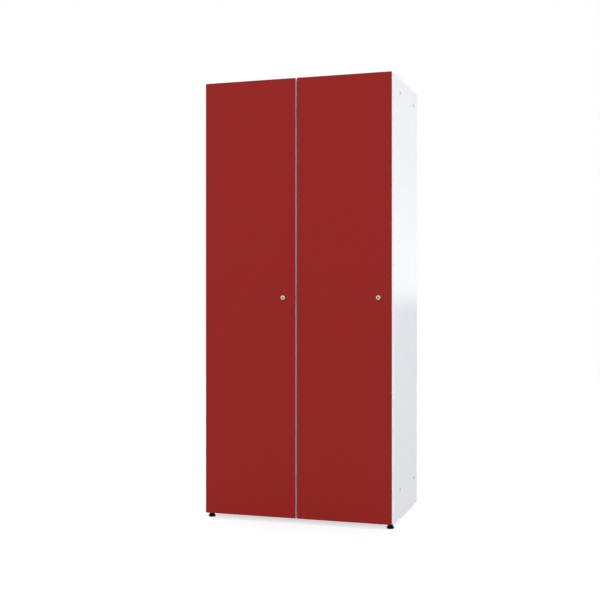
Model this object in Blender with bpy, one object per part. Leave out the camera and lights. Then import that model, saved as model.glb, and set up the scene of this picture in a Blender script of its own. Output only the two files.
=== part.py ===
"""Two-door steel storage cabinet of the locker type.

A carcass of folded sheet steel holds two compartments, each with a hat shelf and a coat rail. Two
double-skin doors swing on concealed knuckle hinges at their left edges and close with cam locks.
Four levelling feet screw into nuts in the base. Units are metres, +Z is up and the doors face -Y. The
origin is on the floor, midway between the sides and midway between the lock heads and the back.
"""

import math

import bmesh
import bpy
from mathutils import Vector

# Carcass
CARCASS_WIDTH = 0.800
CARCASS_HEIGHT = 1.800
CARCASS_DEPTH = 0.485
SHEET = 0.0008
BEND_RADIUS = 0.002
FIT_GAP = 0.0003
FRONT_FLANGE = 0.030
FLANGE_LIP = 0.012
LIP_RELIEF = 0.003
REAR_FLANGE = 0.025
POST_WIDTH = 0.060
PARTITION_FLANGE = 0.012
TOP_FLANGE = 0.035
BASE_HEIGHT = 0.040
BASE_RETURN = 0.048

# Hat shelves and coat rails
SHELF_DROP = 0.300
SHELF_FLANGE = 0.025
SHELF_RETURN = 0.010
SHELF_SETBACK = 0.004
RAIL_DROP = 0.065
RAIL_RADIUS = 0.010
RAIL_WALL = 0.0015
RAIL_FLANGE_RADIUS = 0.019
RAIL_FLANGE_THICKNESS = 0.003

# Link holes in the side panels, and the caps that close them
LINK_HOLE_RADIUS = 0.007
LINK_FRONT_SETBACK = 0.125
LINK_REAR_SETBACK = 0.409
LINK_TOP_DROP = 0.060
LINK_BOTTOM_RISE = 0.118
CAP_BRIM = 0.002
CAP_BRIM_THICKNESS = 0.0015

# Doors
DOOR_THICKNESS = 0.018
DOOR_STANDOFF = 0.003
DOOR_GAP = 0.0052
DOOR_SIDE_REVEAL = 0.0025
DOOR_TOP_REVEAL = 0.0015
DOOR_BOTTOM_REVEAL = 0.0025
FACE_SHEET = 0.0008
PAN_SHEET = 0.0008
FIELD_MARGIN = 0.075
FIELD_SLOPE = 0.005
FIELD_DEPTH = 0.004
STIFFENER_CROWN = 0.040
STIFFENER_SLOPE = 0.012
STIFFENER_BRIM = 0.020
STIFFENER_END_GAP = 0.030

# Hinges
HINGE_END_DISTANCE = 0.150
HINGE_INSET = 0.007
HINGE_SETBACK = 0.007
HINGE_HEIGHT = 0.050
HINGE_LEAF = 0.0015
HINGE_PLATE = 0.018
HINGE_NOTCH_GAP = 0.001
HINGE_BRACKET_LENGTH = 0.018
PIN_RADIUS = 0.002
PIN_HEAD_RADIUS = 0.0032
PIN_HEAD_HEIGHT = 0.0012
PIN_EAR_MARGIN = 0.0015
KNUCKLE_ROLL = math.radians(280)

# Cam locks
LOCK_BACKSET = 0.0553
LOCK_RISE = 0.0018
LOCK_HEAD_RADIUS = 0.0092
LOCK_HEAD_PROUD = 0.0025
LOCK_HEAD_ROUND = 0.0008
LOCK_BARREL_RADIUS = 0.008
LOCK_FLAT_HALF = 0.0068
LOCK_NUT_ACROSS_FLATS = 0.022
LOCK_NUT_THICKNESS = 0.003
PLUG_RADIUS = 0.005
PLUG_RECESS = 0.0002
PLUG_TAIL_SIDE = 0.006
PLUG_TAIL_PROUD = 0.001
KEY_SLOT_LENGTH = 0.008
KEY_SLOT_WIDTH = 0.002
KEY_SLOT_DEPTH = 0.009
CAM_WIDTH = 0.016
CAM_TIP_RADIUS = 0.006
CAM_THICKNESS = 0.0025
CAM_CLEARANCE = 0.003
CAM_ENGAGEMENT = 0.011

# Levelling feet and the nuts that they screw into
FOOT_HEIGHT = 0.019
FOOT_RADIUS = 0.0145
FOOT_RIM_HEIGHT = 0.008
FOOT_EDGE_ROUND = 0.0015
FOOT_NECK_RADIUS = 0.0114
STUD_RADIUS = 0.004
STUD_HEADROOM = 0.005
NUT_ACROSS_FLATS = 0.013
NUT_HEIGHT = 0.008
FRONT_FOOT_INSET = 0.0165
FRONT_FOOT_SETBACK = 0.0145
REAR_FOOT_INSET = 0.034
REAR_FOOT_SETBACK = 0.034

# How finely curves are drawn, and how far a cutter passes what it cuts
BEND_SEGMENTS = 2
ROUND_SEGMENTS = 28
SMALL_ROUND_SEGMENTS = 16
SHARP_ANGLE = math.radians(35)
OVERCUT = 0.001

# Planes that the pieces line up on
LAYER = SHEET + FIT_GAP
SIDE_X = CARCASS_WIDTH / 2
BACK_Y = (LOCK_HEAD_PROUD + DOOR_THICKNESS + DOOR_STANDOFF + CARCASS_DEPTH) / 2
FRONT_Y = BACK_Y - CARCASS_DEPTH
DOOR_BACK_Y = FRONT_Y - DOOR_STANDOFF
DOOR_FACE_Y = DOOR_BACK_Y - DOOR_THICKNESS
BASE_Z = FOOT_HEIGHT
FLOOR_Z = BASE_Z + BASE_HEIGHT
TOP_Z = BASE_Z + CARCASS_HEIGHT
SHELF_Z = TOP_Z - SHELF_DROP
DOOR_Z = BASE_Z + DOOR_BOTTOM_REVEAL
DOOR_WIDTH = (CARCASS_WIDTH - DOOR_GAP) / 2 - DOOR_SIDE_REVEAL
DOOR_HEIGHT = CARCASS_HEIGHT - DOOR_TOP_REVEAL - DOOR_BOTTOM_REVEAL
LOCK_Z = DOOR_Z + DOOR_HEIGHT / 2 + LOCK_RISE
HINGE_Y = DOOR_FACE_Y + HINGE_SETBACK
CAM_FRONT_Y = FRONT_Y + SHEET + CAM_CLEARANCE
CAM_LENGTH = LOCK_BACKSET + DOOR_SIDE_REVEAL - FRONT_FLANGE + CAM_ENGAGEMENT

# The two sides of the cabinet: -1 is left and +1 is right
SIDES = (("left", -1), ("right", 1))
# Both doors hang on their left edges, which lie at these places
DOOR_LEFT_X = {"left": -SIDE_X + DOOR_SIDE_REVEAL, "right": DOOR_GAP / 2}
HINGE_LEVELS = ("lower", "middle", "upper")

# Turns for pieces that are drawn lying down: local +Z becomes -Y, +Y, -X or +X
FACE_FRONT = (math.pi / 2, 0, 0)
FACE_BACK = (-math.pi / 2, 0, 0)
FACE_LEFT = (0, -math.pi / 2, 0)
FACE_RIGHT = (0, math.pi / 2, 0)
ALONG_X = (math.pi / 2, 0, math.pi / 2)


def principled(name, colour, roughness, metallic):
    material = bpy.data.materials.new(name)
    material.use_nodes = True
    shader = material.node_tree.nodes["Principled BSDF"]
    shader.inputs["Base Color"].default_value = (*colour, 1)
    shader.inputs["Roughness"].default_value = roughness
    shader.inputs["Metallic"].default_value = metallic
    return material


def white_coat(name):
    return principled(name + "_white_coat", (0.82, 0.84, 0.85), 0.3, 0)


def red_coat(name):
    return principled(name + "_red_coat", (0.287, 0.022, 0.019), 0.4, 0)


def zinc_plate(name):
    return principled(name + "_zinc_plate", (0.60, 0.61, 0.63), 0.38, 1)


def chrome(name):
    return principled(name + "_chrome", (0.80, 0.80, 0.82), 0.18, 1)


def black_plastic(name):
    return principled(name + "_black_plastic", (0.012, 0.012, 0.013), 0.5, 0)


def grey_plastic(name):
    return principled(name + "_grey_plastic", (0.50, 0.52, 0.54), 0.5, 0)


def clear_scene():
    for obj in list(bpy.data.objects):
        bpy.data.objects.remove(obj)


def add_axis(name, location):
    axis = bpy.data.objects.new(name, None)
    axis.empty_display_size = 0.05
    axis.location = location
    bpy.context.collection.objects.link(axis)
    return axis


def add_part(name, bm, location, coat=None, turn=(0, 0, 0), axis=None):
    """Makes an object of the mesh at a place in the cabinet, carried by an axis if it moves with one."""
    mesh = bpy.data.meshes.new(name)
    bm.to_mesh(mesh)
    bm.free()
    part = bpy.data.objects.new(name, mesh)
    if coat:
        mesh.materials.append(coat(name))
    part.parent = axis
    part.location = Vector(location) - (axis.location if axis else Vector())
    part.rotation_euler = turn
    bpy.context.collection.objects.link(part)
    return part


def shade_round(part):
    part.data.shade_smooth()
    part.data.set_sharp_from_angle(angle=SHARP_ANGLE)


def give_thickness(part, thickness, bend_radius):
    """Rounds the folds of a surface, then thickens it away from its outer face."""
    bends = part.modifiers.new("bends", "BEVEL")
    bends.width = bend_radius
    bends.segments = BEND_SEGMENTS
    bends.limit_method = "ANGLE"
    bends.angle_limit = math.radians(50)
    sheet = part.modifiers.new("sheet", "SOLIDIFY")
    sheet.thickness = thickness
    sheet.offset = -1
    sheet.use_even_offset = True


def shape_with(part, tool, operation):
    """Lets a hidden tool cut or extend a part, and move along with it."""
    tool.hide_render = True
    tool.display_type = "WIRE"
    if part.parent:
        tool.parent = part.parent
        tool.location -= part.parent.location
    modifier = part.modifiers.new(tool.name, "BOOLEAN")
    modifier.operation = operation
    modifier.object = tool


def cut(part, tool):
    shape_with(part, tool, "DIFFERENCE")


def join(part, tool):
    shape_with(part, tool, "UNION")


def folded_surface(path, length):
    """A surface along local Z over a plan path, with the metal to come on the path's right-hand side."""
    bm = bmesh.new()
    low = [bm.verts.new((x, y, 0)) for x, y in path]
    high = [bm.verts.new((x, y, length)) for x, y in path]
    for i in range(len(path) - 1):
        bm.faces.new((low[i], high[i], high[i + 1], low[i + 1]))
    return bm


def pan_surface(width, depth, flange, rim_return=0):
    """A panel facing +Z with a flange turned down all round, and a return turned in from its rim."""
    bm = bmesh.new()
    bmesh.ops.create_cube(bm, size=1)
    bmesh.ops.scale(bm, vec=(width, depth, flange), verts=bm.verts)
    bmesh.ops.translate(bm, vec=(0, 0, -flange / 2), verts=bm.verts)
    underside = min(bm.faces, key=lambda face: face.calc_center_median().z)
    rim = list(underside.edges)
    bmesh.ops.delete(bm, geom=[underside], context="FACES_ONLY")
    if rim_return:
        turned = bmesh.ops.extrude_edge_only(bm, edges=rim)["geom"]
        for vert in turned:
            if isinstance(vert, bmesh.types.BMVert):
                vert.co.x -= math.copysign(rim_return, vert.co.x)
                vert.co.y -= math.copysign(rim_return, vert.co.y)
    bmesh.ops.recalc_face_normals(bm, faces=bm.faces)
    return bm


def box(size):
    bm = bmesh.new()
    bmesh.ops.create_cube(bm, size=1)
    bmesh.ops.scale(bm, vec=size, verts=bm.verts)
    return bm


def box_between(name, low, high):
    size = [b - a for a, b in zip(low, high)]
    middle = [(a + b) / 2 for a, b in zip(low, high)]
    return add_part(name, box(size), middle)


def prism(outline, low, high):
    """A flat outline in local XY, raised from low to high along Z."""
    bm = bmesh.new()
    face = bm.faces.new([bm.verts.new((x, y, low)) for x, y in outline])
    raised = bmesh.ops.extrude_face_region(bm, geom=[face])["geom"]
    tops = [item for item in raised if isinstance(item, bmesh.types.BMVert)]
    bmesh.ops.translate(bm, vec=(0, 0, high - low), verts=tops)
    bmesh.ops.recalc_face_normals(bm, faces=bm.faces)
    return bm


def turned_solid(profile, segments, ring=False):
    """A solid turned about local Z from (radius, height) points; a ring has a bore through it."""
    bm = bmesh.new()
    verts = [bm.verts.new((radius, 0, height)) for radius, height in profile]
    edges = [bm.edges.new(pair) for pair in zip(verts, verts[1:])]
    if ring:
        edges.append(bm.edges.new((verts[-1], verts[0])))
    bmesh.ops.spin(
        bm,
        geom=verts + edges,
        cent=(0, 0, 0),
        axis=(0, 0, 1),
        angle=2 * math.pi,
        steps=segments,
        use_merge=True,
    )
    bmesh.ops.remove_doubles(bm, verts=bm.verts, dist=1e-6)
    bmesh.ops.recalc_face_normals(bm, faces=bm.faces)
    return bm


def cylinder(radius, low, high, segments):
    return turned_solid([(0, low), (radius, low), (radius, high), (0, high)], segments)


def polygon(radius, corners):
    steps = [2 * math.pi * i / corners for i in range(corners)]
    return [(radius * math.cos(a), radius * math.sin(a)) for a in steps]


def hexagon(across_flats):
    return polygon(across_flats / math.sqrt(3), 6)


def rounded_rectangle(width, height, radius):
    """The outline of a flat sheet with rounded corners, about its middle."""
    outline = []
    corners = ((1, -1), (1, 1), (-1, 1), (-1, -1))
    for turn, (across, up) in enumerate(corners):
        for i in range(BEND_SEGMENTS + 1):
            angle = (turn - 1 + i / BEND_SEGMENTS) * math.pi / 2
            x = across * (width / 2 - radius) + radius * math.cos(angle)
            y = up * (height / 2 - radius) + radius * math.sin(angle)
            outline.append((x, y))
    return outline


def flatted_round(radius, flat_half):
    """A round outline with a flat on its upper and lower sides."""
    half_arc = math.asin(flat_half / radius)
    steps = [half_arc * (2 * i / SMALL_ROUND_SEGMENTS - 1) for i in range(SMALL_ROUND_SEGMENTS + 1)]
    right = [(radius * math.cos(a), radius * math.sin(a)) for a in steps]
    left = [(-x, -y) for x, y in right]
    return right + left


def side_panel(side, sign):
    """C-shaped side: a lipped flange at the front, the wall, and a flange at the rear."""
    path = [
        (-sign * FRONT_FLANGE, FLANGE_LIP),
        (-sign * FRONT_FLANGE, 0),
        (0, 0),
        (0, CARCASS_DEPTH),
        (-sign * REAR_FLANGE, CARCASS_DEPTH),
    ]
    if sign > 0:
        path.reverse()
    surface = folded_surface(path, CARCASS_HEIGHT)
    name = f"side_panel_{side}"
    panel = add_part(name, surface, (sign * SIDE_X, FRONT_Y, BASE_Z), white_coat)
    give_thickness(panel, SHEET, BEND_RADIUS)
    lip_x = sign * (SIDE_X - FRONT_FLANGE)
    relieve_lip(panel, lip_x - 2 * BEND_RADIUS, lip_x + 2 * BEND_RADIUS)
    if sign > 0:
        clear_cam_path(panel, DOOR_LEFT_X["right"], lip_x)
    for place, (y, z) in link_places():
        hole = cylinder(LINK_HOLE_RADIUS, -OVERCUT, SHEET + OVERCUT, ROUND_SEGMENTS)
        turn = FACE_RIGHT if sign < 0 else FACE_LEFT
        cut(panel, add_part(f"cut_link_{side}_{place}", hole, (sign * SIDE_X, y, z), turn=turn))


def link_places():
    columns = (("front", LINK_FRONT_SETBACK), ("rear", LINK_REAR_SETBACK))
    rows = (("top", TOP_Z - LINK_TOP_DROP), ("bottom", BASE_Z + LINK_BOTTOM_RISE))
    for row, z in rows:
        for column, setback in columns:
            yield f"{row}_{column}", (FRONT_Y + setback, z)


def relieve_lip(part, low_x, high_x):
    """Cuts the lip away where the flanges of the top and bottom panels lie behind the front flange."""
    low_y = FRONT_Y + SHEET + FIT_GAP / 2
    high_y = FRONT_Y + FLANGE_LIP + OVERCUT
    ends = (
        ("bottom", BASE_Z - OVERCUT, FLOOR_Z + LIP_RELIEF),
        ("top", TOP_Z - TOP_FLANGE - LIP_RELIEF, TOP_Z + OVERCUT),
    )
    for end, low_z, high_z in ends:
        name = f"cut_{part.name}_{end}_lip"
        cut(part, box_between(name, (low_x, low_y, low_z), (high_x, high_y, high_z)))


def clear_cam_path(part, door_left_x, lip_x):
    """Opens the lip beside a lock, so that the cam can turn in behind the front flange."""
    lock_x = door_left_x + DOOR_WIDTH - LOCK_BACKSET
    reach = math.sqrt(CAM_LENGTH**2 - (lip_x - lock_x) ** 2)
    low = (lip_x - 2 * BEND_RADIUS, FRONT_Y + SHEET + FIT_GAP / 2, LOCK_Z - reach - LIP_RELIEF)
    high = (lip_x + 2 * BEND_RADIUS, FRONT_Y + FLANGE_LIP + OVERCUT, LOCK_Z + CAM_WIDTH / 2 + LIP_RELIEF)
    cut(part, box_between(f"cut_{part.name}_cam_path", low, high))


def link_cap(side, sign, place, y, z):
    """Push-in cap, flush in its link hole and held by a brim inside the wall."""
    radius = LINK_HOLE_RADIUS - FIT_GAP
    profile = [
        (0, -FIT_GAP),
        (radius, -FIT_GAP),
        (radius, -LAYER),
        (LINK_HOLE_RADIUS + CAP_BRIM, -LAYER),
        (LINK_HOLE_RADIUS + CAP_BRIM, -LAYER - CAP_BRIM_THICKNESS),
        (0, -LAYER - CAP_BRIM_THICKNESS),
    ]
    turn = FACE_RIGHT if sign > 0 else FACE_LEFT
    solid = turned_solid(profile, ROUND_SEGMENTS)
    cap = add_part(f"link_cap_{side}_{place}", solid, (sign * SIDE_X, y, z), grey_plastic, turn)
    shade_round(cap)


def top_panel():
    width = CARCASS_WIDTH - 2 * LAYER
    depth = CARCASS_DEPTH - 3 * LAYER
    middle = (0, FRONT_Y + LAYER + depth / 2, TOP_Z)
    panel = add_part("top_panel", pan_surface(width, depth, TOP_FLANGE), middle, white_coat)
    give_thickness(panel, SHEET, BEND_RADIUS)


def foot_places():
    """Where the four feet stand, in plan."""
    for side, sign in SIDES:
        yield f"front_{side}", sign * (SIDE_X - FRONT_FOOT_INSET), FRONT_Y + FRONT_FOOT_SETBACK
        yield f"rear_{side}", sign * (SIDE_X - REAR_FOOT_INSET), BACK_Y - REAR_FOOT_SETBACK


def bottom_panel():
    """Floor of the compartments, folded down into the base and turned in to carry the feet."""
    width = CARCASS_WIDTH - 2 * LAYER
    depth = CARCASS_DEPTH - 3 * LAYER
    surface = pan_surface(width, depth, BASE_HEIGHT, BASE_RETURN)
    middle = (0, FRONT_Y + LAYER + depth / 2, FLOOR_Z)
    panel = add_part("bottom_panel", surface, middle, white_coat)
    give_thickness(panel, SHEET, BEND_RADIUS)
    for place, x, y in foot_places():
        hole = cylinder(STUD_RADIUS + FIT_GAP, -OVERCUT, SHEET + OVERCUT, SMALL_ROUND_SEGMENTS)
        cut(panel, add_part(f"cut_stud_{place}", hole, (x, y, BASE_Z)))


def back_panel():
    """Flat sheet behind the top and bottom panels, held by the rear flanges of the sides."""
    size = (CARCASS_WIDTH - 2 * (BEND_RADIUS + FIT_GAP), SHEET, CARCASS_HEIGHT)
    middle = (0, BACK_Y - LAYER - SHEET / 2, BASE_Z + CARCASS_HEIGHT / 2)
    add_part("back_panel", box(size), middle, white_coat)


def centre_partition():
    """Wall between the compartments, with a flange all round on its right."""
    low_z = FLOOR_Z + FIT_GAP
    high_z = TOP_Z - LAYER
    depth = CARCASS_DEPTH - 5 * LAYER
    surface = pan_surface(high_z - low_z, depth, PARTITION_FLANGE)
    middle = (-SHEET / 2, FRONT_Y + 2 * LAYER + depth / 2, (low_z + high_z) / 2)
    wall = add_part("centre_partition", surface, middle, white_coat, FACE_LEFT)
    give_thickness(wall, SHEET, BEND_RADIUS)


def centre_post():
    """Channel in front of the partition: the left door locks behind it, the right door hangs on it."""
    half = POST_WIDTH / 2
    path = [(half, FLANGE_LIP), (half, 0), (-half, 0), (-half, FLANGE_LIP)]
    surface = folded_surface(path, CARCASS_HEIGHT)
    post = add_part("centre_post", surface, (0, FRONT_Y, BASE_Z), white_coat)
    give_thickness(post, SHEET, BEND_RADIUS)
    relieve_lip(post, -half - OVERCUT, half + OVERCUT)
    clear_cam_path(post, DOOR_LEFT_X["left"], -half)


def compartment_span(sign):
    """The faces of the side wall and the partition that bound a compartment, from left to right."""
    return sorted((sign * SHEET / 2, sign * (SIDE_X - SHEET)))


def hat_shelf(side, sign):
    low_x, high_x = compartment_span(sign)
    low_y = FRONT_Y + FLANGE_LIP + SHELF_SETBACK
    high_y = BACK_Y - 4 * LAYER
    width = high_x - low_x - 2 * FIT_GAP
    surface = pan_surface(width, high_y - low_y, SHELF_FLANGE, SHELF_RETURN)
    middle = ((low_x + high_x) / 2, (low_y + high_y) / 2, SHELF_Z)
    shelf = add_part(f"hat_shelf_{side}", surface, middle, white_coat)
    give_thickness(shelf, SHEET, BEND_RADIUS)


def coat_rail(side, sign):
    """Tube across the compartment with a flange at each end."""
    low_x, high_x = compartment_span(sign)
    half = (high_x - low_x) / 2 - FIT_GAP
    bore = RAIL_RADIUS - RAIL_WALL
    inner = half - RAIL_FLANGE_THICKNESS
    profile = [
        (bore, -half),
        (RAIL_FLANGE_RADIUS, -half),
        (RAIL_FLANGE_RADIUS, -inner),
        (RAIL_RADIUS, -inner),
        (RAIL_RADIUS, inner),
        (RAIL_FLANGE_RADIUS, inner),
        (RAIL_FLANGE_RADIUS, half),
        (bore, half),
    ]
    middle = ((low_x + high_x) / 2, (FRONT_Y + BACK_Y) / 2, SHELF_Z - RAIL_DROP)
    solid = turned_solid(profile, ROUND_SEGMENTS, ring=True)
    shade_round(add_part(f"coat_rail_{side}", solid, middle, zinc_plate, FACE_RIGHT))


def levelling_foot(place, x, y):
    """Moulded foot on a steel stud that screws up through the base."""
    top = FOOT_HEIGHT - FIT_GAP
    stud_top = FLOOR_Z - SHEET - STUD_HEADROOM
    profile = [
        (0, 0),
        (FOOT_RADIUS - FOOT_EDGE_ROUND, 0),
        (FOOT_RADIUS, FOOT_EDGE_ROUND),
        (FOOT_RADIUS, FOOT_RIM_HEIGHT - FOOT_EDGE_ROUND),
        (FOOT_RADIUS - FOOT_EDGE_ROUND / 2, FOOT_RIM_HEIGHT),
        (FOOT_NECK_RADIUS, FOOT_RIM_HEIGHT + FOOT_EDGE_ROUND),
        (FOOT_NECK_RADIUS, top),
        (STUD_RADIUS, top),
        (STUD_RADIUS, stud_top),
        (0, stud_top),
    ]
    solid = turned_solid(profile, ROUND_SEGMENTS)
    shade_round(add_part(f"levelling_foot_{place}", solid, (x, y, 0), black_plastic))


def foot_nut(place, x, y):
    """Hexagon nut welded on the turned-in edge of the base."""
    low = BASE_Z + LAYER
    outline = prism(hexagon(NUT_ACROSS_FLATS), 0, NUT_HEIGHT)
    nut = add_part(f"foot_nut_{place}", outline, (x, y, low), zinc_plate)
    bore = cylinder(STUD_RADIUS + FIT_GAP, -OVERCUT, NUT_HEIGHT + OVERCUT, SMALL_ROUND_SEGMENTS)
    cut(nut, add_part(f"cut_foot_nut_{place}", bore, (x, y, low)))


def lock_place(side):
    return DOOR_LEFT_X[side] + DOOR_WIDTH - LOCK_BACKSET, DOOR_FACE_Y, LOCK_Z


def cut_lock_hole(part, side):
    outline = flatted_round(LOCK_BARREL_RADIUS + FIT_GAP, LOCK_FLAT_HALF + FIT_GAP)
    hole = prism(outline, -DOOR_THICKNESS - OVERCUT, OVERCUT)
    cut(part, add_part(f"cut_{part.name}_lock", hole, lock_place(side), turn=FACE_FRONT))


def hinge_heights():
    spacing = (DOOR_HEIGHT - 2 * HINGE_END_DISTANCE) / (len(HINGE_LEVELS) - 1)
    for i, level in enumerate(HINGE_LEVELS):
        yield level, DOOR_Z + HINGE_END_DISTANCE + i * spacing


def door_face(side, axis):
    """Flat front sheet of a door, over the whole of its pan."""
    outline = rounded_rectangle(DOOR_WIDTH, DOOR_HEIGHT, BEND_RADIUS)
    middle = (DOOR_LEFT_X[side] + DOOR_WIDTH / 2, DOOR_FACE_Y, DOOR_Z + DOOR_HEIGHT / 2)
    solid = prism(outline, -FACE_SHEET, 0)
    face = add_part(f"door_face_{side}", solid, middle, red_coat, FACE_FRONT, axis)
    cut_lock_hole(face, side)


def door_pan(side, axis):
    """Inner skin of a door: its back with a pressed-in field, and edges that run forward to the face."""
    surface = pan_surface(DOOR_WIDTH, DOOR_HEIGHT, DOOR_THICKNESS - FACE_SHEET - FIT_GAP)
    back = max(surface.faces, key=lambda face: face.calc_center_median().z)
    for inset, depth in ((FIELD_MARGIN, 0), (FIELD_SLOPE, -FIELD_DEPTH)):
        bmesh.ops.inset_region(surface, faces=[back], thickness=inset, depth=depth, use_even_offset=True)
    middle = (DOOR_LEFT_X[side] + DOOR_WIDTH / 2, DOOR_BACK_Y, DOOR_Z + DOOR_HEIGHT / 2)
    pan = add_part(f"door_pan_{side}", surface, middle, white_coat, FACE_BACK, axis)
    give_thickness(pan, PAN_SHEET, BEND_RADIUS)
    cut_lock_hole(pan, side)
    for level, z in hinge_heights():
        cut(pan, hinge_notch(f"cut_{pan.name}_{level}", side, z))


def hinge_notch(name, side, z):
    """The corner that is cut from a pan's back and edge, where a hinge arm swings."""
    half = HINGE_HEIGHT / 2 + HINGE_NOTCH_GAP
    left_x = DOOR_LEFT_X[side]
    right_x = left_x + HINGE_INSET + PIN_RADIUS + FIT_GAP + HINGE_LEAF + HINGE_NOTCH_GAP
    low = (left_x - OVERCUT, HINGE_Y - HINGE_NOTCH_GAP, z - half)
    high = (right_x, DOOR_BACK_Y + OVERCUT, z + half)
    return box_between(name, low, high)


def door_stiffener(side, axis):
    """Hat section between the pan's pressed-in field and the face."""
    crown_y = DOOR_FACE_Y + FACE_SHEET + FIT_GAP + PAN_SHEET
    brim_y = DOOR_BACK_Y - FIELD_DEPTH - PAN_SHEET - FIT_GAP
    crown = STIFFENER_CROWN / 2
    foot = crown + STIFFENER_SLOPE
    rise = crown_y - brim_y
    path = [
        (-foot - STIFFENER_BRIM, 0),
        (-foot, 0),
        (-crown, rise),
        (crown, rise),
        (foot, 0),
        (foot + STIFFENER_BRIM, 0),
    ]
    end = FIELD_MARGIN + FIELD_SLOPE + STIFFENER_END_GAP
    surface = folded_surface(path, DOOR_HEIGHT - 2 * end)
    low = (DOOR_LEFT_X[side] + DOOR_WIDTH / 2, brim_y, DOOR_Z + end)
    stiffener = add_part(f"door_stiffener_{side}", surface, low, zinc_plate, axis=axis)
    give_thickness(stiffener, PAN_SHEET, BEND_RADIUS)


def hinge_arm(side, level, z):
    """Leaf fixed to the carcass front, folded forward and rolled into a knuckle round the pin."""
    roll_radius = PIN_RADIUS + FIT_GAP
    steps = SMALL_ROUND_SEGMENTS
    angles = [-KNUCKLE_ROLL * (1 - i / steps) for i in range(steps + 1)]
    path = [(roll_radius * math.cos(a), roll_radius * math.sin(a)) for a in angles]
    plate_y = FRONT_Y - FIT_GAP - HINGE_Y
    path.append((roll_radius, plate_y))
    path.append((roll_radius + HINGE_PLATE, plate_y))
    surface = folded_surface(path, HINGE_HEIGHT)
    low = (DOOR_LEFT_X[side] + HINGE_INSET, HINGE_Y, z - HINGE_HEIGHT / 2)
    arm = add_part(f"hinge_arm_{side}_{level}", surface, low, zinc_plate)
    give_thickness(arm, HINGE_LEAF, BEND_RADIUS)
    shade_round(arm)


def hinge_bracket(side, level, z, axis):
    """Channel riveted inside the pan, with two ears that hold the pin above and below the knuckle."""
    ear_z = HINGE_HEIGHT / 2 + FIT_GAP + HINGE_LEAF
    front = -PIN_RADIUS - FIT_GAP - PIN_EAR_MARGIN
    back = DOOR_BACK_Y - PAN_SHEET - FIT_GAP - HINGE_Y
    window = PIN_RADIUS + FIT_GAP + HINGE_LEAF + HINGE_NOTCH_GAP
    path = [(front, ear_z), (back, ear_z), (back, -ear_z), (front, -ear_z)]
    surface = folded_surface(path, window + HINGE_BRACKET_LENGTH - front)
    pin = Vector((DOOR_LEFT_X[side] + HINGE_INSET, HINGE_Y, z))
    name = f"hinge_bracket_{side}_{level}"
    bracket = add_part(name, surface, pin + Vector((front, 0, 0)), zinc_plate, ALONG_X, axis)
    give_thickness(bracket, HINGE_LEAF, BEND_RADIUS)
    half = HINGE_HEIGHT / 2 + FIT_GAP / 2
    low = pin + Vector((front - OVERCUT, -front + HINGE_NOTCH_GAP, -half))
    high = pin + Vector((window, back + OVERCUT, half))
    cut(bracket, box_between(f"cut_{name}_window", low, high))
    hole = cylinder(PIN_RADIUS + FIT_GAP, -ear_z - OVERCUT, ear_z + OVERCUT, SMALL_ROUND_SEGMENTS)
    cut(bracket, add_part(f"cut_{name}_pin", hole, pin))


def hinge_pin(side, level, z, axis):
    """Riveted pin through the ears and the knuckle."""
    neck = HINGE_HEIGHT / 2 + 2 * FIT_GAP + HINGE_LEAF
    tip = neck + PIN_HEAD_HEIGHT
    profile = [
        (0, -tip),
        (PIN_HEAD_RADIUS, -tip),
        (PIN_HEAD_RADIUS, -neck),
        (PIN_RADIUS, -neck),
        (PIN_RADIUS, neck),
        (PIN_HEAD_RADIUS, neck),
        (PIN_HEAD_RADIUS, tip),
        (0, tip),
    ]
    pin = (DOOR_LEFT_X[side] + HINGE_INSET, HINGE_Y, z)
    solid = turned_solid(profile, SMALL_ROUND_SEGMENTS)
    shade_round(add_part(f"hinge_pin_{side}_{level}", solid, pin, zinc_plate, axis=axis))


def lock_body(side, axis):
    """Lock housing: a round head proud of the face, and a barrel with two flats through the door."""
    bore = PLUG_RADIUS + FIT_GAP
    barrel_end = DOOR_FACE_Y - CAM_FRONT_Y + FIT_GAP
    profile = [
        (bore, LOCK_HEAD_PROUD),
        (LOCK_HEAD_RADIUS - LOCK_HEAD_ROUND, LOCK_HEAD_PROUD),
        (LOCK_HEAD_RADIUS, LOCK_HEAD_PROUD - LOCK_HEAD_ROUND),
        (LOCK_HEAD_RADIUS, FIT_GAP),
        (LOCK_BARREL_RADIUS, FIT_GAP),
        (LOCK_BARREL_RADIUS, barrel_end),
        (bore, barrel_end),
    ]
    solid = turned_solid(profile, ROUND_SEGMENTS, ring=True)
    place = Vector(lock_place(side))
    body = add_part(f"lock_body_{side}", solid, place, chrome, FACE_FRONT, axis)
    shade_round(body)
    for end, sign in (("upper", 1), ("lower", -1)):
        reach = LOCK_HEAD_RADIUS + OVERCUT
        flat, outside = sorted((sign * LOCK_FLAT_HALF, sign * reach))
        low = place + Vector((-reach, -FIT_GAP, flat))
        high = place + Vector((reach, OVERCUT - barrel_end, outside))
        cut(body, box_between(f"cut_{body.name}_{end}_flat", low, high))


def lock_nut(side, axis):
    """Thin hexagon nut that clamps the lock against the back of the door."""
    front = -DOOR_THICKNESS - FIT_GAP
    outline = prism(hexagon(LOCK_NUT_ACROSS_FLATS), front - LOCK_NUT_THICKNESS, front)
    nut = add_part(f"lock_nut_{side}", outline, lock_place(side), zinc_plate, FACE_FRONT, axis)
    low = front - LOCK_NUT_THICKNESS - OVERCUT
    bore = cylinder(LOCK_BARREL_RADIUS + FIT_GAP, low, front + OVERCUT, ROUND_SEGMENTS)
    cut(nut, add_part(f"cut_{nut.name}", bore, lock_place(side), turn=FACE_FRONT))


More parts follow.
